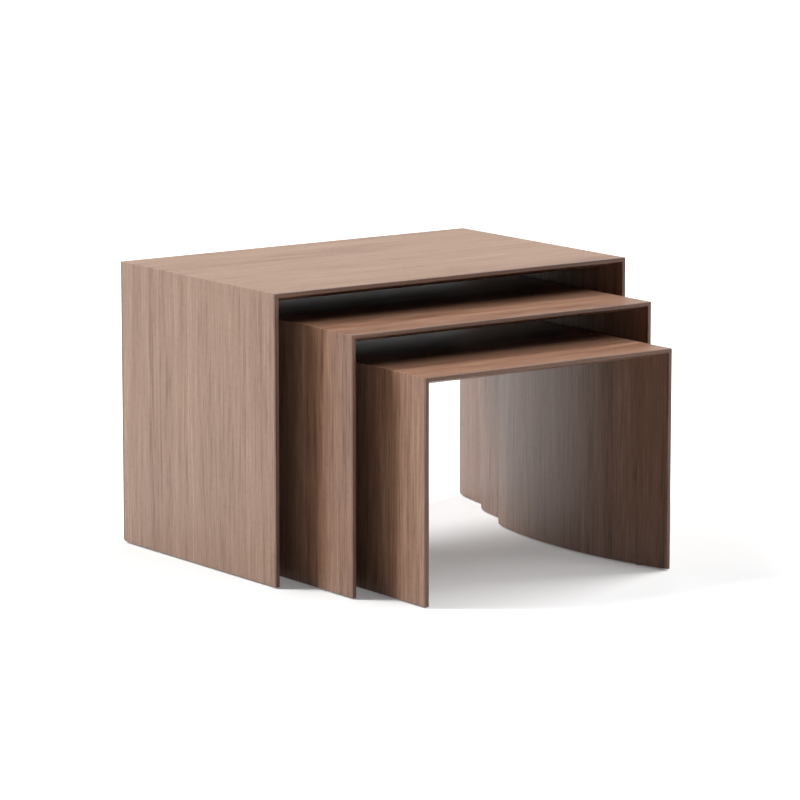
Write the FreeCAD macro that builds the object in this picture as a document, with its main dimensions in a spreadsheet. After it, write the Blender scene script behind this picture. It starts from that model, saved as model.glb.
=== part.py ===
import FreeCAD, Part
import os

import Sketcher
from FreeCAD import Placement, Rotation, Vector

# Nest of three open tables.  Each table is a top and two sides, mitred at the corners like one
# folded board.  A board is flat outside and bowed inside: thin at its front and rear edges and
# thickest half way back.  The origin is on the floor, in the middle of the set as it stands half
# pulled out.  +Z is up, -Y is the front, and the tables slide in and out along Y.

# Every size that can be set by itself, in millimetres, with what it measures.
SIZES = (
    ("large_width", 670, "outer width of the large table"),
    ("large_height", 450, "height of the large table above the floor"),
    ("table_depth", 430, "depth of all three tables, front to rear"),
    ("panel_middle", 37, "thickness of a board half way back"),
    ("panel_edge", 6.2, "thickness of a board at its front and rear edges"),
    ("side_gap", 14, "gap between one table's side and the next one's, at its narrowest"),
    ("medium_headroom", 13.5, "gap above the medium table's top, at its narrowest"),
    ("small_headroom", 16.5, "gap above the small table's top, at its narrowest"),
    ("medium_pull", 128, "how far the medium table stands out in front of the large one"),
    ("small_pull", 242, "how far the small table stands out in front of the large one"),
    ("heel_radius", 6, "rounding of each side's lower rear corner"),
    ("lipping_depth", 4, "depth of the solid strip that covers a board's edge"),
    ("biscuit_count", 3, "biscuits in one mitre"),
    ("biscuit_length", 56, "length of a biscuit, along the mitre"),
    ("biscuit_width", 23, "width of a biscuit, across the mitre"),
    ("biscuit_end", 6, "width of a biscuit's blunt ends"),
    ("biscuit_thickness", 4, "thickness of a biscuit"),
    ("biscuit_spacing", 100, "distance between biscuits"),
    ("biscuit_inset", 23, "distance of the biscuits from the outer arris, along the mitre"),
    ("biscuit_play", 0.4, "room round a biscuit in its slot, along and across the mitre"),
    ("biscuit_slack", 0.1, "room on each face of a biscuit in its slot"),
    ("glide_diameter", 12, "diameter of a glide's head"),
    ("glide_lift", 2, "thickness of a glide's head, and the gap under the sides"),
    ("glide_rounding", 0.6, "rounding of the lower edge of a glide's head"),
    ("glide_inset", 60, "distance of the glides from the front and rear edges"),
    ("pin_diameter", 2.4, "diameter of a glide's pin"),
    ("pin_length", 12, "length of a glide's pin inside the side"),
    ("pin_slack", 0.05, "room all round a pin in its hole"),
    ("saw_margin", 5, "how far a mitre cut runs past the board"),
)

MITRE_ANGLE = 45
HALF_TURN = 180
QUARTER_TURN = 90
START, END = 1, 2
CENTRE = 3
ORIGIN = (-1, START)
TOUCH = 1e-3

doc = FreeCAD.newDocument("nesting_tables")
sheet = doc.addObject("Spreadsheet::Sheet", "Sizes")
for row, (alias, value, meaning) in enumerate(SIZES, start=1):
    sheet.set(f"A{row}", alias)
    sheet.set(f"B{row}", str(value))
    sheet.set(f"C{row}", meaning)
    sheet.setAlias(f"B{row}", alias)
doc.recompute()

# Formulas shared by several pieces, written for the sheet's expression engine.
HALF_DEPTH = "Sizes.table_depth / 2"
SAGITTA = "(Sizes.panel_middle - Sizes.panel_edge)"
BOW_RADIUS = f"((({HALF_DEPTH})^2 + {SAGITTA}^2) / (2 * {SAGITTA}))"
STEP_IN = "(Sizes.panel_middle + Sizes.side_gap)"
MEDIUM_HEIGHT = "(Sizes.large_height - Sizes.panel_middle - Sizes.medium_headroom)"

TABLES = {
    "large": {
        "width": "Sizes.large_width",
        "height": "Sizes.large_height",
        "centre": "Sizes.small_pull / 2",
    },
    "medium": {
        "width": f"(Sizes.large_width - 2 * {STEP_IN})",
        "height": MEDIUM_HEIGHT,
        "centre": "Sizes.small_pull / 2 - Sizes.medium_pull",
    },
    "small": {
        "width": f"(Sizes.large_width - 4 * {STEP_IN})",
        "height": f"({MEDIUM_HEIGHT} - Sizes.panel_middle - Sizes.small_headroom)",
        "centre": "-Sizes.small_pull / 2",
    },
}


def number(formula):
    """Value of a formula, from the sheet."""
    return float(sheet.evalExpression(formula))


def thickness_at(depth):
    """Formula for a board's thickness at a distance from its middle: the bow is one arc."""
    return f"(Sizes.panel_middle - {BOW_RADIUS} + sqrt({BOW_RADIUS}^2 - ({depth})^2))"


# ---------------------------------------------------------------- bodies, sketches and features


def new_body(name, table, turned=False):
    """Body that stands where its table stands; a turned one faces the other way."""
    body = doc.addObject("PartDesign::Body", name)
    body.Label = name
    body.AllowCompound = True
    turn = HALF_TURN if turned else 0
    body.Placement = Placement(Vector(), Rotation(Vector(0, 0, 1), turn))
    body.setExpression("Placement.Base.y", table["centre"])
    return body


def new_sketch(body, name, plane, offset=(), rotation=Rotation()):
    """Sketch on one of the body's own origin planes, moved by formulas for its x, y and z."""
    support = next(f for f in body.Origin.OriginFeatures if f.Role == plane)
    sketch = body.newObject("Sketcher::SketchObject", name)
    sketch.AttachmentSupport = [(support, "")]
    sketch.MapMode = "FlatFace"
    sketch.AttachmentOffset = Placement(Vector(), rotation)
    for axis, formula in offset:
        sketch.setExpression(f"AttachmentOffset.Base.{axis}", formula)
    return sketch


def bind(sketch, kind, references, formula, name):
    """Dimension of a sketch, tied to the sheet."""
    index = sketch.addConstraint(Sketcher.Constraint(kind, *references, number(formula)))
    sketch.renameConstraint(index, name)
    sketch.setExpression(f"Constraints.{name}", formula)


def add_outline(sketch, corners, arcs=()):
    """Closed outline through corners, given as pairs of formulas.

    arcs maps the number of a corner to the arc that leaves it, as its centre's two formulas and
    its radius; the other edges are straight.
    """
    arcs = dict(arcs)
    points = [Vector(number(u), number(v), 0) for u, v in corners]
    first = sketch.GeometryCount
    ends = []
    for index, point in enumerate(points):
        following = points[(index + 1) % len(points)]
        if index not in arcs:
            sketch.addGeometry(Part.LineSegment(point, following))
            ends.append((START, END))
            continue
        centre_u, centre_v, radius = arcs[index]
        centre = Vector(number(centre_u), number(centre_v), 0)
        circle = Part.Circle(centre, Vector(0, 0, 1), number(radius))
        anticlockwise = (point - centre).cross(following - centre).z > 0
        pair = (point, following) if anticlockwise else (following, point)
        angles = [circle.parameter(corner) for corner in pair]
        sketch.addGeometry(Part.ArcOfCircle(circle, *angles))
        ends.append((START, END) if anticlockwise else (END, START))
        bind(sketch, "Radius", (first + index,), radius, f"radius_{first + index}")
    for index, (u, v) in enumerate(corners):
        edge = first + index
        before = first + (index - 1) % len(corners)
        here = (edge, ends[index][0])
        sketch.addConstraint(Sketcher.Constraint("Coincident", before, ends[index - 1][1], *here))
        bind(sketch, "DistanceX", (*ORIGIN, *here), u, f"u_{edge}")
        bind(sketch, "DistanceY", (*ORIGIN, *here), v, f"v_{edge}")


def add_circles(sketch, centres, diameter):
    """Circles of one diameter at centres given as pairs of formulas."""
    for u, v in centres:
        radius = number(diameter) / 2
        circle = Part.Circle(Vector(number(u), number(v), 0), Vector(0, 0, 1), radius)
        index = sketch.addGeometry(circle)
        bind(sketch, "Diameter", (index,), diameter, f"diameter_{index}")
        bind(sketch, "DistanceX", (*ORIGIN, index, CENTRE), u, f"u_{index}")
        bind(sketch, "DistanceY", (*ORIGIN, index, CENTRE), v, f"v_{index}")


def add_feature(body, kind, name, sketch, length=None, both_ways=False):
    """Pad or pocket of a sketch; a pocket with no length goes right through, both ways."""
    feature = body.newObject(kind, name)
    feature.Profile = sketch
    if both_ways:
        feature.SideType = "Symmetric"
    if length is None:
        feature.Type = "ThroughAll"
    else:
        feature.setExpression("Length", length)
    doc.recompute()
    return feature


def cut(body, name, sketch, length=None, both_ways=True):
    """Pocket that must take something away."""
    before = body.Shape.Volume
    pocket = add_feature(body, "PartDesign::Pocket", name, sketch, length, both_ways)
    if body.Shape.Volume >= before:
        raise RuntimeError(f"{body.Label}: {name} cuts nothing")
    return pocket


# ------------------------------------------------------------------------ boards and lippings

# A board is a core with a lipping glued along its front and rear edge: the three share one
# section, between these distances from the middle of the table's depth.
CORE = (f"-{HALF_DEPTH} + Sizes.lipping_depth", f"{HALF_DEPTH} - Sizes.lipping_depth")
FRONT_EDGE = (f"-{HALF_DEPTH}", f"-{HALF_DEPTH} + Sizes.lipping_depth")
REAR_EDGE = (f"{HALF_DEPTH} - Sizes.lipping_depth", HALF_DEPTH)


def add_section(sketch, outer, stretch):
    """Slice of a board's section: flat at the outer face, bowed towards the inside."""
    front, rear = stretch
    corners = (
        (front, outer),
        (front, f"{outer} - {thickness_at(front)}"),
        (rear, f"{outer} - {thickness_at(rear)}"),
        (rear, outer),
    )
    centre = ("0", f"{outer} - Sizes.panel_middle + {BOW_RADIUS}")
    add_outline(sketch, corners, {1: (*centre, BOW_RADIUS)})


def make_top(name, table, stretch):
    """Part of a top board, from mitre to mitre."""
    body = new_body(name, table)
    sketch = new_sketch(body, f"{name}_section", "YZ_Plane")
    add_section(sketch, table["height"], stretch)
    add_feature(body, "PartDesign::Pad", f"{name}_board", sketch, table["width"], both_ways=True)

    sketch = new_sketch(body, f"{name}_mitres", "XZ_Plane")
    reach = "(Sizes.panel_middle + Sizes.saw_margin)"
    for sign in ("-", "+"):
        end = f"{sign}{table['width']} / 2"
        inward = "+" if sign == "-" else "-"
        below = f"{table['height']} - {reach}"
        add_outline(sketch, ((end, table["height"]), (end, below), (f"{end} {inward} {reach}", below)))
    cut(body, f"{name}_mitre_cuts", sketch)
    return body


def make_side(name, table, stretch, turned):
    """Part of a side board, from the glides up to the mitre; a right side is a left one turned."""
    body = new_body(name, table, turned)
    outward = Rotation(Vector(0, 0, 1), QUARTER_TURN)
    sketch = new_sketch(body, f"{name}_section", "XY_Plane", [("z", "Sizes.glide_lift")], outward)
    add_section(sketch, f"{table['width']} / 2", stretch)
    length = f"{table['height']} - Sizes.glide_lift"
    add_feature(body, "PartDesign::Pad", f"{name}_board", sketch, length)

    sketch = new_sketch(body, f"{name}_mitre", "XZ_Plane")
    outer = f"-{table['width']} / 2"
    inner = f"{outer} + Sizes.panel_middle + Sizes.saw_margin"
    below = f"{table['height']} - Sizes.panel_middle - Sizes.saw_margin"
    add_outline(sketch, ((outer, table["height"]), (inner, below), (inner, table["height"])))
    cut(body, f"{name}_mitre_cut", sketch)
    return body


def round_heel(body, turned):
    """Round the lower rear corner, which is at the front of a turned body's own frame."""
    sign, forward = ("-", "+") if turned else ("+", "-")
    rear = f"{sign}{HALF_DEPTH}"
    start = f"{rear} {forward} Sizes.heel_radius"
    top = "Sizes.glide_lift + Sizes.heel_radius"
    corners = ((rear, "Sizes.glide_lift"), (rear, top), (start, "Sizes.glide_lift"))
    sketch = new_sketch(body, f"{body.Label}_heel", "YZ_Plane")
    add_outline(sketch, corners, {1: (start, top, "Sizes.heel_radius")})
    cut(body, f"{body.Label}_heel_cut", sketch)


# ----------------------------------------------------------------------------------- biscuits


def new_mitre_sketch(body, name, table):
    """Sketch across the left mitre: u runs along the mitre, v from the side into the top."""
    inset = f"Sizes.biscuit_inset * cos({MITRE_ANGLE})"
    offset = [("y", f"{table['height']} - {inset}"), ("z", f"-{table['width']} / 2 + {inset}")]
    tilt = Rotation(Vector(1, 0, 0), MITRE_ANGLE)
    return new_sketch(body, name, "YZ_Plane", offset, tilt)


def add_lenses(sketch, room):
    """Row of biscuit outlines, each two shallow arcs with blunt ends, larger by room all round."""
    count = round(number("Sizes.biscuit_count"))
    half_length = f"(Sizes.biscuit_length / 2 + {room})"
    half_width = f"(Sizes.biscuit_width / 2 + {room})"
    half_end = f"(Sizes.biscuit_end / 2 + {room})"
    rise = f"({half_width} - {half_end})"
    radius = f"(({half_length}^2 + {rise}^2) / (2 * {rise}))"
    centre_offset = f"({radius} - {half_width})"
    for index in range(count):
        middle = f"({index - (count - 1) / 2} * Sizes.biscuit_spacing)"
        corners = (
            (f"{middle} - {half_length}", f"-{half_end}"),
            (f"{middle} + {half_length}", f"-{half_end}"),
            (f"{middle} + {half_length}", half_end),
            (f"{middle} - {half_length}", half_end),
        )
        arcs = {0: (middle, centre_offset, radius), 2: (middle, f"-{centre_offset}", radius)}
        add_outline(sketch, corners, arcs)


def cut_biscuit_slots(body, table):
    """Slots for the biscuits at a board's left mitre."""
    sketch = new_mitre_sketch(body, f"{body.Label}_slots", table)
    add_lenses(sketch, "Sizes.biscuit_play")
    width = "Sizes.biscuit_thickness + 2 * Sizes.biscuit_slack"
    return cut(body, f"{body.Label}_slot_cuts", sketch, width)


def mirror_across_middle(body, feature):
    """Repeat a cut at the other end of a top board."""
    before = body.Shape.Volume
    mirrored = body.newObject("PartDesign::Mirrored", f"{feature.Name}_mirrored")
    plane = next(f for f in body.Origin.OriginFeatures if f.Role == "YZ_Plane")
    mirrored.Originals = [feature]
    mirrored.MirrorPlane = (plane, [""])
    body.Tip = mirrored
    doc.recompute()
    if body.Shape.Volume >= before:
        raise RuntimeError(f"{body.Label}: the mirrored cut takes nothing away")


def make_biscuits(name, table, turned):
    """Beech biscuits of one mitre, each its own solid."""
    body = new_body(name, table, turned)
    sketch = new_mitre_sketch(body, f"{name}_outlines", table)
    add_lenses(sketch, "0")
    thickness = "Sizes.biscuit_thickness"
    add_feature(body, "PartDesign::Pad", f"{name}_pad", sketch, thickness, both_ways=True)
    return body


# ------------------------------------------------------------------------------------- glides


def glide_centres(table):
    """Where the glides of a left side stand: in the middle of its thickness, front and rear."""
    reach = f"({HALF_DEPTH} - Sizes.glide_inset)"
    across = f"-{table['width']} / 2 + {thickness_at(reach)} / 2"
    return ((across, f"-{reach}"), (across, reach))


def bore_pin_holes(body, table):
    """Blind holes in the foot of a side for the pins of its glides."""
    sketch = new_sketch(body, f"{body.Label}_holes", "XY_Plane", [("z", "Sizes.glide_lift")])
    add_circles(sketch, glide_centres(table), "Sizes.pin_diameter + 2 * Sizes.pin_slack")
    before = body.Shape.Volume
    name = f"{body.Label}_hole_cuts"
    pocket = add_feature(body, "PartDesign::Pocket", name, sketch, "Sizes.pin_length + Sizes.pin_slack")
    pocket.Reversed = True
    doc.recompute()
    if body.Shape.Volume >= before:
        raise RuntimeError(f"{body.Label}: the pin holes cut nothing")


def make_glides(name, table, turned):
    """Nail-on glides of one side: a round plastic head on the floor and a pin up into the board."""
    body = new_body(name, table, turned)
    sketch = new_sketch(body, f"{name}_heads", "XY_Plane")
    add_circles(sketch, glide_centres(table), "Sizes.glide_diameter")
    heads = add_feature(body, "PartDesign::Pad", f"{name}_head_pad", sketch, "Sizes.glide_lift")

    edges = enumerate(heads.Shape.Edges, start=1)
    on_floor = [f"Edge{index}" for index, edge in edges if edge.BoundBox.ZMax < TOUCH]
    fillet = body.newObject("PartDesign::Fillet", f"{name}_rounding")
    fillet.Base = (heads, on_floor)
    fillet.setExpression("Radius", "Sizes.glide_rounding")
    doc.recompute()

    sketch = new_sketch(body, f"{name}_pins", "XY_Plane", [("z", "Sizes.glide_lift")])
    add_circles(sketch, glide_centres(table), "Sizes.pin_diameter")
    add_feature(body, "PartDesign::Pad", f"{name}_pin_pad", sketch, "Sizes.pin_length")
    return body


# ------------------------------------------------------------------------------------- tables


def make_table(size, table):
    """All the pieces of one table."""
    top = make_top(f"{size}_top_panel", table, CORE)
    slots = cut_biscuit_slots(top, table)
    mirror_across_middle(top, slots)
    pieces = [
        top,
        make_top(f"{size}_top_front_lipping", table, FRONT_EDGE),
        make_top(f"{size}_top_rear_lipping", table, REAR_EDGE),
    ]
    for side, turned in (("left", False), ("right", True)):
        own_front, own_rear = (REAR_EDGE, FRONT_EDGE) if turned else (FRONT_EDGE, REAR_EDGE)
        panel = make_side(f"{size}_{side}_panel", table, CORE, turned)
        round_heel(panel, turned)
        cut_biscuit_slots(panel, table)
        bore_pin_holes(panel, table)
        rear_lipping = make_side(f"{size}_{side}_rear_lipping", table, own_rear, turned)
        round_heel(rear_lipping, turned)
        pieces += [
            panel,
            make_side(f"{size}_{side}_front_lipping", table, own_front, turned),
            rear_lipping,
            make_biscuits(f"{size}_{side}_biscuits", table, turned),
            make_glides(f"{size}_{side}_glides", table, turned),
        ]
    return pieces


parts = [piece for size, table in TABLES.items() for piece in make_table(size, table)]
doc.recompute()

for item in doc.Objects:
    if "Invalid" in item.State or "Error" in item.State:
        raise RuntimeError(f"{item.Label} is not up to date: {item.State}")
for piece in parts:
    if piece.Shape.isNull() or not piece.Shape.isValid() or not piece.Shape.Solids:
        raise RuntimeError(f"{piece.Label} has no valid solid")

os.makedirs("parts", exist_ok=True)
for piece in parts:
    piece.Shape.exportStep(os.path.join("parts", f"{piece.Label}.step"))
    print(piece.Label, len(piece.Shape.Solids), round(piece.Shape.Volume))
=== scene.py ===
import math

import bmesh
import bpy
import numpy as np
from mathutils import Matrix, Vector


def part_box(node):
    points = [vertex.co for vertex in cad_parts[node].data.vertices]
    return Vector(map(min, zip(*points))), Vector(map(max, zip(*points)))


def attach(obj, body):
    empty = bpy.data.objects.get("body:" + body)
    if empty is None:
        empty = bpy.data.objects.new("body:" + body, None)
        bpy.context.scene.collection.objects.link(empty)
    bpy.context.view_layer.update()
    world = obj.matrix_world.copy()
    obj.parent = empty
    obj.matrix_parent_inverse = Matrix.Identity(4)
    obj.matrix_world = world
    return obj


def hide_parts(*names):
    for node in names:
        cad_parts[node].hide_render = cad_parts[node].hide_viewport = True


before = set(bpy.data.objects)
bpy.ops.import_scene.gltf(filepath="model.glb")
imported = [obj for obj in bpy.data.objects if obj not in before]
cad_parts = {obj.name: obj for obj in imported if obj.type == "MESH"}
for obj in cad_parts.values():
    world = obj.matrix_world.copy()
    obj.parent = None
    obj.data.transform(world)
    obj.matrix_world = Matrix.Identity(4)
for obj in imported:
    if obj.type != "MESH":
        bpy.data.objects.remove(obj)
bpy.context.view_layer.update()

# ------------------------------------------------------------------------------------ boards
# Each table is three boards mitred into one fold: a top and two sides, flat outside and bowed
# inside, so they are thin at the front and rear and thickest half way back.  A board is a shaped
# core under walnut veneer, whose grain runs up one side, over the top and down the other.

TABLES = ("large", "medium", "small")
ARRIS = 0.0007            # rounding of every arris, sanded by hand
ARRIS_STEPS = 4
HEEL_RADIUS = 0.006       # lower rear corner of a side
HEEL_STEPS = 5            # points round the heel, on a board or a strip
BOARD_COLUMNS = 48        # across the depth of a board
BOARD_ROWS = 24           # along a board, between its ends
FACE_MARGIN = 0.0015      # first row inside an arris, which keeps the faces flat
WELD_DIGITS = 6           # points are one when they agree to a thousandth of a millimetre
CREASE = math.radians(35)    # faces that meet at more than this show an edge
# INNER_LEAF moves only the grain of the inner faces. Their darker colour, set below, is painted
# shade.
INNER_LEAF = 1.37         # the inner veneer comes from another part of the log

table_sizes = {}
for size in TABLES:
    top_low, top_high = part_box(f"{size}_top_panel")
    lipping_low, lipping_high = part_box(f"{size}_top_front_lipping")
    side_low, side_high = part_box(f"{size}_left_panel")
    table_sizes[size] = {
        "width": top_high.x - top_low.x,
        "height": top_high.z,
        "middle": (top_low.y + top_high.y) / 2,
        "core": (top_high.y - top_low.y) / 2,
        "half_depth": (top_low.y + top_high.y) / 2 - lipping_low.y,
        "foot": side_low.z,
        "thickest": top_high.z - top_low.z,
        "at_core_edge": lipping_high.z - lipping_low.z,
    }


def bow_radius(table):
    """Radius of the arc inside a board, from how much thinner it is at the edge of its core."""
    drop = table["thickest"] - table["at_core_edge"]
    return (table["core"] ** 2 + drop**2) / (2 * drop)


def thickness(table, depth):
    """Thickness at a distance from mid-depth: the greatest, less the fall of one long arc."""
    radius = bow_radius(table)
    return table["thickest"] - radius + np.sqrt(radius**2 - depth**2)


def eased(distance):
    """How far an arris of ARRIS radius falls below the face, at a distance from the edge."""
    short = ARRIS - np.clip(distance, 0, ARRIS)
    return ARRIS - np.sqrt(ARRIS**2 - short**2)


def heel_line(table, depth, distance):
    """Length of a side down to its foot, kept a distance inside it: level, then round the heel.

    The heel is a quarter circle about a point HEEL_RADIUS in from the rear edge and the foot.
    """
    length = table["height"] - table["foot"]
    back = np.maximum(depth - (table["half_depth"] - HEEL_RADIUS), 0)
    arc = np.sqrt(np.maximum((HEEL_RADIUS - distance) ** 2 - back**2, 0))
    return length - HEEL_RADIUS + arc


def mitre_rows(table, depth, ease):
    """Rows at a mitred end, as distances along and into the board, outer face then inner one.

    Outside, the rows go round half of the arris that the two boards share, from the mitre at 45
    degrees to the flat.  Inside they all lie where the inner face meets the mitre.
    """
    turn = np.radians(np.linspace(45, 90, ARRIS_STEPS + 1))[:, None]
    reach = ARRIS - ease
    outer = ARRIS - reach * np.cos(turn), ARRIS - reach * np.sin(turn)
    inside = (thickness(table, depth) - ease) + 0 * turn
    return outer, (inside, inside)


def foot_rows(table, depth, ease):
    """Rows at the foot of a side: an arris each side of the foot, which also rounds the heel."""
    turn = np.radians(np.linspace(0, 90, ARRIS_STEPS + 1))[:, None]
    length = table["height"] - table["foot"]
    reach = ARRIS - ease
    level = length - ARRIS + reach * np.sin(turn)
    level_drop = ARRIS - reach * np.cos(turn)
    distance = np.minimum(ARRIS - ARRIS * np.sin(turn), table["half_depth"] - depth)
    on_heel = depth > table["half_depth"] - HEEL_RADIUS
    along = np.where(on_heel, heel_line(table, depth, distance), level)
    drop = np.where(on_heel, eased(distance), level_drop)
    return (along, drop), (along, thickness(table, depth) - drop)


def board_faces(table, depth, ease, two_mitres):
    """Outer and inner face of a board, each as distances along and into it on a grid.

    Each column keeps one depth.  The rows run from the mitre to the foot, or to the other mitre.
    """
    first = mitre_rows(table, depth, ease)
    if two_mitres:
        last = [(table["width"] - along[::-1], into[::-1]) for along, into in first]
    else:
        last = foot_rows(table, depth, ease)
    faces = []
    for (start, start_into), (end, end_into) in zip(first, last):
        span = end[:1] - start[-1:]
        inner_rows = np.linspace(0, 1, BOARD_ROWS)[1:-1, None]
        margin = FACE_MARGIN / span
        share = np.concatenate([margin, margin + (1 - 2 * margin) * inner_rows, 1 - margin])
        along = np.concatenate([start, start[-1:] + span * share, end])
        into_rows = np.repeat(start_into[-1:], len(share), axis=0)
        into = np.concatenate([start_into, into_rows, end_into])
        faces.append((along, into))
    return faces


def place(table, part, along, into, depth):
    """Points of a part from distances along its outer face, into it and from mid-depth."""
    half = table["width"] / 2
    across = {"left": into - half, "top": along - half, "right": half - into}[part]
    up = table["height"] - (into if part == "top" else along)
    forward = np.broadcast_to(depth, along.shape) + table["middle"]
    return np.stack([across, forward, up], axis=-1)


def grain_length(table, part, along):
    """Distance along the grain, counted up the left side, over the top and down the right one."""
    if part == "left":
        return table["height"] - along
    return along + table["height"] + (table["width"] if part == "right" else 0)


def rims(skins, maps, finish):
    """Patches that close a board: each joins an edge of its outer face to that of its inner one."""
    patches = []
    for edge in (np.s_[0], np.s_[-1], np.s_[:, 0], np.s_[:, -1]):
        points = np.stack([skins[0][edge], skins[1][edge]], axis=1)
        grain = np.stack([maps[0][edge], maps[1][edge]], axis=1)
        patches.append((points, grain, finish))
    return patches


def build_piece(name, patches, materials):
    """Closed mesh from patches of points, grain coordinates and a material number.

    Each patch is a grid, its quads taken row by row.  Points that lie together are welded, so the
    grids close into one skin, and a quad that has lost a corner becomes a triangle.
    """
    corners, grain, finish = [], [], []
    for points, uv, material in patches:
        order = ((slice(None, -1), slice(None, -1)), (slice(1, None), slice(None, -1)),
                 (slice(1, None), slice(1, None)), (slice(None, -1), slice(1, None)))
        corners.append(np.stack([points[cell] for cell in order], axis=2).reshape(-1, 4, 3))
        grain.append(np.stack([uv[cell] for cell in order], axis=2).reshape(-1, 4, 2))
        finish.append(np.full(len(corners[-1]), material))
    corners = np.concatenate(corners)
    grain = np.concatenate(grain)
    finish = np.concatenate(finish)
    _, first, number = np.unique(
        np.round(corners.reshape(-1, 3), WELD_DIGITS),
        axis=0, return_index=True, return_inverse=True,
    )
    vertices = corners.reshape(-1, 3)[first]
    quads = number.reshape(-1, 4)
    lost = quads == np.roll(quads, -1, axis=1)
    whole = lost.sum(axis=1) == 0
    cut = lost.sum(axis=1) == 1
    faces = quads[whole].tolist() + quads[cut][~lost[cut]].reshape(-1, 3).tolist()
    uv = np.concatenate([grain[whole].reshape(-1, 2), grain[cut][~lost[cut]]])
    finish = np.concatenate([finish[whole], finish[cut]])

    mesh = bpy.data.meshes.new(name)
    mesh.from_pydata(vertices.tolist(), [], faces)
    mesh.uv_layers.new(name="grain").data.foreach_set("uv", uv.astype(np.float32).ravel())
    mesh.polygons.foreach_set("material_index", finish.astype(np.int32))
    for material in materials:
        mesh.materials.append(material)
    skin = bmesh.new()
    skin.from_mesh(mesh)
    bmesh.ops.recalc_face_normals(skin, faces=skin.faces)
    skin.to_mesh(mesh)
    skin.free()
    mesh.shade_smooth()
    mesh.set_sharp_from_angle(angle=CREASE)
    piece = bpy.data.objects.new(name, mesh)
    bpy.context.scene.collection.objects.link(piece)
    piece.modifiers.new("flat_faces", "WEIGHTED_NORMAL").keep_sharp = True
    return piece


class Shade:
    """A shader socket in an expression: + - * / on values add their Math nodes.

    Without a socket it stands for the tree alone, and is where an expression starts.
    """

    def __init__(self, tree, socket=None):
        self.tree = tree
        self.socket = socket

    def node(self, kind, settings=(), inputs=(), output=0):
        """New node: its settings are set first, then the values or links of its sockets."""
        made = self.tree.nodes.new(kind)
        for key, value in dict(settings).items():
            setattr(made, key, value)
        for key, value in dict(inputs).items():
            if isinstance(value, Shade):
                self.tree.links.new(value.socket, made.inputs[key])
            else:
                made.inputs[key].default_value = value
        return Shade(self.tree, made.outputs[output])

    def math(self, operation, *values):
        return self.node("ShaderNodeMath", {"operation": operation}, enumerate(values))

    def __add__(self, other):
        return self.math("ADD", self, other)

    def __radd__(self, other):
        return self.math("ADD", other, self)

    def __sub__(self, other):
        return self.math("SUBTRACT", self, other)

    def __rsub__(self, other):
        return self.math("SUBTRACT", other, self)

    def __mul__(self, other):
        return self.math("MULTIPLY", self, other)

    def __rmul__(self, other):
        return self.math("MULTIPLY", other, self)

    def __truediv__(self, other):
        return self.math("DIVIDE", self, other)

    def between(self, low, high):
        """0 below low, 1 above high, and a smooth step between."""
        inputs = {"Value": self, "From Min": low, "From Max": high}
        return self.node("ShaderNodeMapRange", {"interpolation_type": "SMOOTHSTEP"}, inputs)

    def mix(self, first, second):
        """Colour from first to second as this value goes from 0 to 1.

        The node's sockets share their names, so its colours go by number: 6, 7 and result 2.
        """
        inputs = {0: self, 6: first, 7: second}
        return self.node("ShaderNodeMix", {"data_type": "RGBA"}, inputs, output=2)


def new_material(name):
    """Empty node material, with its shader and a wrapper to build expressions with."""
    material = bpy.data.materials.new(name)
    material.use_nodes = True
    tree = material.node_tree
    shader = tree.nodes["Principled BSDF"]
    return material, shader, Shade(tree)


def connect(material, shader, colour, roughness, bump):
    """Link what varies over the surface to the shader of its material."""
    varying = {"Base Color": colour, "Roughness": roughness, "Normal": bump}
    for name, value in varying.items():
        material.node_tree.links.new(value.socket, shader.inputs[name])


def rgb(red, green, blue):
    """Opaque colour."""
    return (red, green, blue, 1.0)


# Streaks of the figure, from the broadest: length and width in metres, detail of the noise, its
# seed and its share.  The fibres, pores and the drift that bends all of them follow.
FIGURE = (
    (0.9, 0.035, 2.0, 11.7, 1.05),
    (0.25, 0.0085, 2.0, 23.3, 1.0),
    (0.11, 0.0036, 1.0, 37.9, 1.25),
)
FIBRES = (0.032, 0.0014, 1.0, 41.3)
FIBRE_SHARE = 0.85
PORES = (0.011, 0.00042, 0.0, 53.9)
PORE_EDGE = (0.66, 0.80)    # noise at which a pore begins and is fully open
DRIFT = (0.7, 0.09, 1.0, 3.1)
DRIFT_REACH = 0.014       # most that a streak wanders, in metres
LEAF_WIDTH = 0.0955       # of the leaves that a face is laid up from
LEAF_SHARE = 0.22
PORE_COLOUR = rgb(0.018, 0.010, 0.007)
LACQUER_IOR = 1.44


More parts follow.
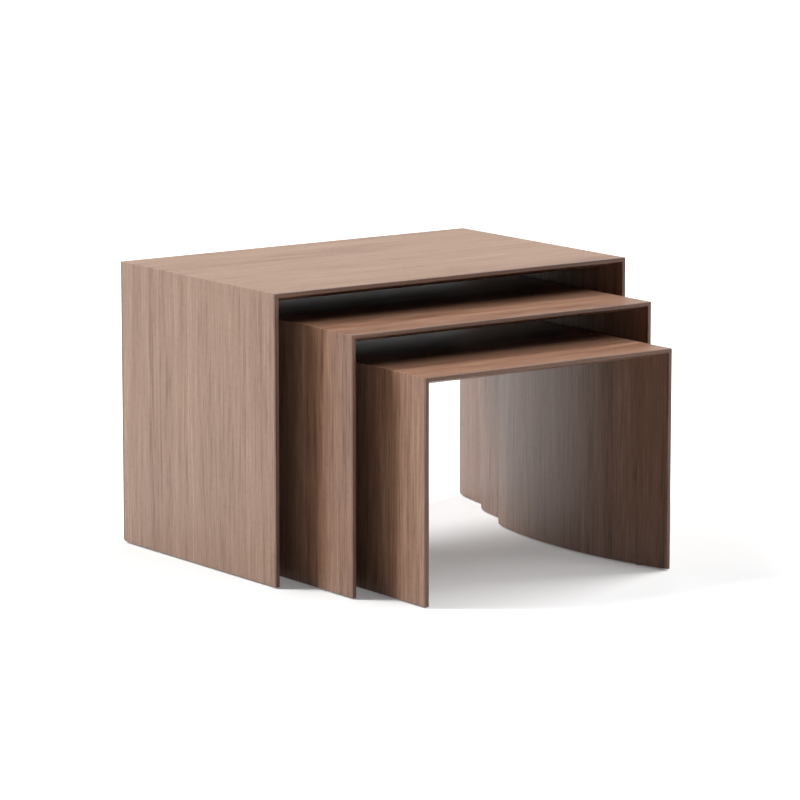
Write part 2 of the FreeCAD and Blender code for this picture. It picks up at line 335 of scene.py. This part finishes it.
def walnut(name, pale, middle, dark, contrast, leaf_width):
    """Lacquered walnut along the grain map: leaf tones, streaks, fibres and short open pores."""
    material, shader, shade = new_material(name)
    uv = shade.node("ShaderNodeUVMap", {"uv_map": "grain"})
    along = shade.node("ShaderNodeSeparateXYZ", (), {"Vector": uv}, output="X")
    across = shade.node("ShaderNodeSeparateXYZ", (), {"Vector": uv}, output="Y")

    def streaks(length, width, detail, seed, side=across):
        """Noise drawn out along the grain; length and width are in metres."""
        inputs = {"X": along / length, "Y": side / width, "Z": seed}
        stretched = shade.node("ShaderNodeCombineXYZ", (), inputs)
        inputs = {"Vector": stretched, "Scale": 1.0, "Detail": detail, "Roughness": 0.55}
        return shade.node("ShaderNodeTexNoise", (), inputs)

    leaf = shade.math("FLOOR", across / leaf_width)
    leaf_tone = shade.node("ShaderNodeTexWhiteNoise", {"noise_dimensions": "1D"}, {"W": leaf})
    wander = across + (streaks(*DRIFT) - 0.5) * DRIFT_REACH
    fibres = streaks(*FIBRES, wander)
    pores = streaks(*PORES, wander).between(*PORE_EDGE)

    figure = (fibres - 0.5) * FIBRE_SHARE + (leaf_tone - 0.5) * LEAF_SHARE
    for length, width, detail, seed, share in FIGURE:
        figure = figure + (streaks(length, width, detail, seed, wander) - 0.5) * share
    figure = figure * contrast + 0.5
    colour = figure.between(0.0, 0.5).mix(dark, middle)
    colour = figure.between(0.5, 1.0).mix(colour, pale)
    colour = (pores * 0.55).mix(colour, PORE_COLOUR)
    roughness = 0.36 + (fibres - 0.5) * 0.10 + pores * 0.18
    height = (fibres - 0.5) * 0.25 - pores
    inputs = {"Strength": 0.35, "Distance": 0.00008, "Height": height}
    connect(material, shader, colour, roughness, shade.node("ShaderNodeBump", (), inputs))
    shader.inputs["IOR"].default_value = LACQUER_IOR
    return material


def sealed_core():
    """Fibreboard under a brown sealer, where a board ends in a glue joint or at its foot."""
    material, shader, shade = new_material("sealed_core")
    spot = shade.node("ShaderNodeTexCoord", output="Object")
    inputs = {"Vector": spot, "Scale": 900.0, "Detail": 3.0}
    specks = shade.node("ShaderNodeTexNoise", (), inputs)
    blotches = shade.node("ShaderNodeTexNoise", (), {"Vector": spot, "Scale": 40.0})
    mixed = specks * 0.6 + blotches * 0.4
    colour = mixed.between(0.3, 0.7).mix(rgb(0.050, 0.030, 0.019), rgb(0.085, 0.055, 0.036))
    inputs = {"Strength": 0.3, "Distance": 0.0002, "Height": specks}
    bump = shade.node("ShaderNodeBump", (), inputs)
    connect(material, shader, colour, 0.62 + specks * 0.2, bump)
    return material


pale_veneer = walnut(
    "walnut_veneer_pale",
    rgb(0.296, 0.189, 0.128), rgb(0.220, 0.129, 0.084), rgb(0.132, 0.064, 0.035),
    contrast=0.8, leaf_width=LEAF_WIDTH,
)
# The medium and small tables take a redder, darker copy of the veneer. The redder tone is the
# wood's own; the darker tone is painted shade from the large table over them.
red_veneer_with_painted_shade = walnut(
    "walnut_veneer_red_with_painted_shade",
    rgb(0.262, 0.150, 0.098), rgb(0.190, 0.097, 0.060), rgb(0.098, 0.041, 0.022),
    contrast=1.0, leaf_width=LEAF_WIDTH,
)
# The inner faces take a darker copy of the veneer. This is painted shade, for the shade that falls
# inside each table.
inner_veneer_painted_shade = walnut(
    "walnut_veneer_inner_painted_shade",
    rgb(0.186, 0.106, 0.070), rgb(0.136, 0.069, 0.043), rgb(0.070, 0.030, 0.016),
    contrast=0.8, leaf_width=LEAF_WIDTH,
)
core = sealed_core()

# Where each table's veneer starts in the log, along its grain and across it, in metres.
GRAIN_START = {"large": (0.0, 0.0255), "medium": (5.3, 3.11), "small": (11.7, 7.43)}

for size in TABLES:
    table = table_sizes[size]
    log_along, log_across = GRAIN_START[size]
    # The large table keeps the pale veneer; the nested tables take the copy that carries painted
    # shade.
    veneer = pale_veneer if size == "large" else red_veneer_with_painted_shade
    heel_start = table["half_depth"] - HEEL_RADIUS
    level = np.linspace(-table["core"], heel_start, BOARD_COLUMNS)
    heel_end = math.asin((table["core"] - heel_start) / HEEL_RADIUS)
    heel = heel_start + HEEL_RADIUS * np.sin(np.linspace(0, heel_end, HEEL_STEPS)[1:])
    depth = np.concatenate([level, heel])
    flat = np.zeros_like(depth)
    for part in ("left", "top", "right"):
        faces = board_faces(table, depth, flat, part == "top")
        skins, maps = [], []
        for (along, into), leaf in zip(faces, (0, INNER_LEAF)):
            skins.append(place(table, part, along, into, depth))
            length = grain_length(table, part, along) + log_along
            maps.append(np.stack([length, depth + leaf + log_across + 0 * along], axis=-1))
        patches = [(skins[0], maps[0], 0), (skins[1], maps[1], 1)] + rims(skins, maps, 2)
        name = f"{size}_{part}_panel"
        board = build_piece(f"{size}_{part}_board", patches, (veneer, inner_veneer_painted_shade, core))
        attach(board, f"{size}_table")
        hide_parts(name)

# ---------------------------------------------------------------------------------- lippings
# Solid walnut strips, glued along the front and rear edge of every board before veneering and
# mitred with it.  They show as a thin dark line all round each opening: dark in the dim light at
# the front, and darker still from painted shade in their colour.

STRIP_ROW = 0.0009        # last row of a front strip before its arris, which keeps it flat
# STRIP_LEAF moves only the grain of the strips. Their darker colour, set below, is painted shade.
STRIP_LEAF = 4.0          # the strips come from another part of the log
STRIP_SPREAD = 0.02       # grain that a strip shows as it turns round its edge
STRIP_SLANT = 0.5         # how much of its thickness counts across the grain
SOLID_WIDTH = 0.5         # wider than a strip, because solid wood has no leaves

ease_turn = np.radians(np.linspace(90, 0, ARRIS_STEPS + 1))
# Darker than the veneer. Besides its own grain, this colour carries painted shade for the dimly lit
# front faces of the strips.
solid = walnut(
    "walnut_lipping",
    rgb(0.180, 0.098, 0.060), rgb(0.125, 0.059, 0.035), rgb(0.060, 0.025, 0.013),
    contrast=1.0, leaf_width=SOLID_WIDTH,
)
for size in TABLES:
    table = table_sizes[size]
    log_along, log_across = GRAIN_START[size]
    half = table["half_depth"]
    heel_start = half - HEEL_RADIUS
    arris = half - ARRIS + ARRIS * np.sin(ease_turn)
    heel_from = math.asin((table["core"] - heel_start) / HEEL_RADIUS)
    heel_to = math.asin((HEEL_RADIUS - ARRIS) / HEEL_RADIUS)
    heel_turn = np.linspace(heel_to, heel_from, HEEL_STEPS + 1)[1:]
    heel = heel_start + HEEL_RADIUS * np.sin(heel_turn)
    rear_depth = np.concatenate([arris, heel])[::-1]
    front_depth = -np.concatenate([arris, [half - ARRIS - STRIP_ROW, table["core"]]])
    for part in ("left", "top", "right"):
        for edge_name, depth in (("front", front_depth), ("rear", rear_depth)):
            ease = eased(half - np.abs(depth))
            faces = board_faces(table, depth, ease, part == "top")
            skins, maps = [], []
            for (along, into), side in zip(faces, (1, -1)):
                skins.append(place(table, part, along, into, depth))
                length = grain_length(table, part, along) + log_along
                spread = side * (STRIP_SPREAD - STRIP_SLANT * into)
                round_edge = np.abs(depth) + spread + 0 * along
                maps.append(np.stack([length, round_edge + log_across + STRIP_LEAF], axis=-1))
            patches = [(skin, uv, 0) for skin, uv in zip(skins, maps)] + rims(skins, maps, 0)
            name = f"{size}_{part}_{edge_name}_lipping"
            strip = build_piece(f"{size}_{part}_{edge_name}_strip", patches, (solid,))
            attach(strip, f"{size}_table")
            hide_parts(name)

# ---------------------------------------------------------------------------------- biscuits
# Three beech biscuits glued into slots across each mitre, unseen once the table is together.
# Pressed from beech, so they are pale and straight-grained with fine short flecks.

BEECH_STRETCH = (900.0, 60.0, 900.0)    # flecks per metre, fewest along the biscuit


def dress(node, material):
    """Give every material slot of a CAD node the same material."""
    for holder in node.material_slots:
        holder.material = material


beech, shader, shade = new_material("beech")
spot = shade.node("ShaderNodeTexCoord", output="Object")
stretch = shade.node("ShaderNodeMapping", (), {"Vector": spot, "Scale": BEECH_STRETCH})
inputs = {"Vector": stretch, "Scale": 1.0, "Detail": 2.0}
flecks = shade.node("ShaderNodeTexNoise", (), inputs)
tint = flecks.between(0.35, 0.7).mix(rgb(0.42, 0.27, 0.16), rgb(0.60, 0.43, 0.28))
bump = shade.node("ShaderNodeBump", (), {"Strength": 0.4, "Distance": 0.0001, "Height": flecks})
connect(beech, shader, tint, 0.55 + flecks * 0.25, bump)
for size in TABLES:
    for side in ("left", "right"):
        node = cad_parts[f"{size}_{side}_biscuits"]
        dress(node, beech)

# ------------------------------------------------------------------------------------ glides
# Round nylon glides nailed into the foot of each side, front and rear, which keep the board
# 2 mm off the floor.  Moulded in dark brown, matt where they slide.

nylon, shader, shade = new_material("nylon")
spot = shade.node("ShaderNodeTexCoord", output="Object")
inputs = {"Vector": spot, "Scale": 1400.0, "Detail": 2.0}
mottle = shade.node("ShaderNodeTexNoise", (), inputs)
inputs = {"Vector": spot, "Scale": 260.0, "Detail": 4.0}
scuffs = shade.node("ShaderNodeTexNoise", (), inputs)
worn = scuffs.between(0.55, 0.75)
tint = (worn * 0.5).mix(rgb(0.020, 0.015, 0.012), rgb(0.060, 0.050, 0.043))
bump = shade.node("ShaderNodeBump", (), {"Strength": 0.3, "Distance": 0.0001, "Height": mottle})
connect(nylon, shader, tint, 0.45 + worn * 0.3, bump)
for size in TABLES:
    for side in ("left", "right"):
        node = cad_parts[f"{size}_{side}_glides"]
        dress(node, nylon)

# ----------------------------------------------------------------------- floor, light, camera
# A plain pale floor that runs out of sight and gives off a little light, soft boxes round it,
# and a camera with a long lens.  Nothing here belongs to the tables.

FLOOR_REACH = 60.0
FLOOR_GREY = 0.66
FLOOR_GLOW = 0.14
FLOOR_ROUGHNESS = 0.6
WHITE = rgb(1, 1, 1)
floor_mesh = bpy.data.meshes.new("floor")
floor_mesh.from_pydata(
    [(-FLOOR_REACH, -FLOOR_REACH, 0), (FLOOR_REACH, -FLOOR_REACH, 0),
     (FLOOR_REACH, FLOOR_REACH, 0), (-FLOOR_REACH, FLOOR_REACH, 0)],
    [], [(0, 1, 2, 3)],
)
floor = bpy.data.objects.new("floor", floor_mesh)
bpy.context.scene.collection.objects.link(floor)
floor_paint, shader, _ = new_material("floor_paint")
shader.inputs["Base Color"].default_value = rgb(FLOOR_GREY, FLOOR_GREY, FLOOR_GREY)
shader.inputs["Emission Color"].default_value = WHITE
shader.inputs["Emission Strength"].default_value = FLOOR_GLOW
shader.inputs["Roughness"].default_value = FLOOR_ROUGHNESS
floor_mesh.materials.append(floor_paint)

# Soft boxes round the sky: from and to azimuth, counted from +X towards +Y, lowest and highest
# elevation, all in degrees, and strength.
SOFT_BOXES = (
    (134, 146, 35, 48, 54.0),
    (122, 146, 48, 62, 35.0),
    (146, 160, 35, 48, 9.0),
    (-22.5, 22.5, 35, 60, 15.5),
    (-67.5, -22.5, 35, 60, 2.9),
    (-100, -50, 50, 75, 3.9),
    (80, 136, 14, 35, 3.2),
    (95, 135, -2, 6, 3.6),
    (40, 80, 6, 35, 0.8),
)
SOFT_EDGE = math.radians(1)
BACKDROP = 1.2            # brightness of the backdrop, which lights nothing
world = bpy.data.worlds.new("studio")
bpy.context.scene.world = world
world.use_nodes = True
background = world.node_tree.nodes["Background"]
shade = Shade(world.node_tree)
direction = shade.node("ShaderNodeTexCoord")
sky_x, sky_y, sky_z = (
    shade.node("ShaderNodeSeparateXYZ", (), {"Vector": direction}, axis) for axis in "XYZ"
)
azimuth = shade.math("ARCTAN2", sky_y, sky_x)
elevation = shade.math("ARCSINE", sky_z)
strength = shade.node("ShaderNodeLightPath", output="Is Camera Ray") * BACKDROP
for turn_from, turn_to, low, high, power in SOFT_BOXES:
    facing = azimuth - math.radians((turn_from + turn_to) / 2)
    away = shade.math("ABSOLUTE", shade.math("WRAP", facing, -math.pi, math.pi))
    half_width = math.radians(turn_to - turn_from) / 2
    lowest = math.radians(low)
    highest = math.radians(high)
    inside = 1 - away.between(half_width - SOFT_EDGE, half_width + SOFT_EDGE)
    above = elevation.between(lowest - SOFT_EDGE, lowest + SOFT_EDGE)
    below = 1 - elevation.between(highest - SOFT_EDGE, highest + SOFT_EDGE)
    strength = strength + inside * above * below * power
world.node_tree.links.new(strength.socket, background.inputs["Strength"])
background.inputs["Color"].default_value = WHITE

LENS = 200.06257          # millimetres, on a sensor 36 mm wide
SENSOR_WIDTH = 36
FAR = 100
CAMERA_PLACE = (-4.02919, -5.52292, 1.43528)
CAMERA_TILT = math.radians(80.101247)
CAMERA_TURN = math.radians(-35.861945)
camera_data = bpy.data.cameras.new("camera")
camera_data.lens = LENS
camera_data.sensor_width = SENSOR_WIDTH
camera_data.clip_end = FAR
camera = bpy.data.objects.new("camera", camera_data)
camera.location = CAMERA_PLACE
camera.rotation_euler = (CAMERA_TILT, 0, CAMERA_TURN)
bpy.context.scene.collection.objects.link(camera)
bpy.context.scene.camera = camera
bpy.context.scene.view_settings.view_transform = "Standard"
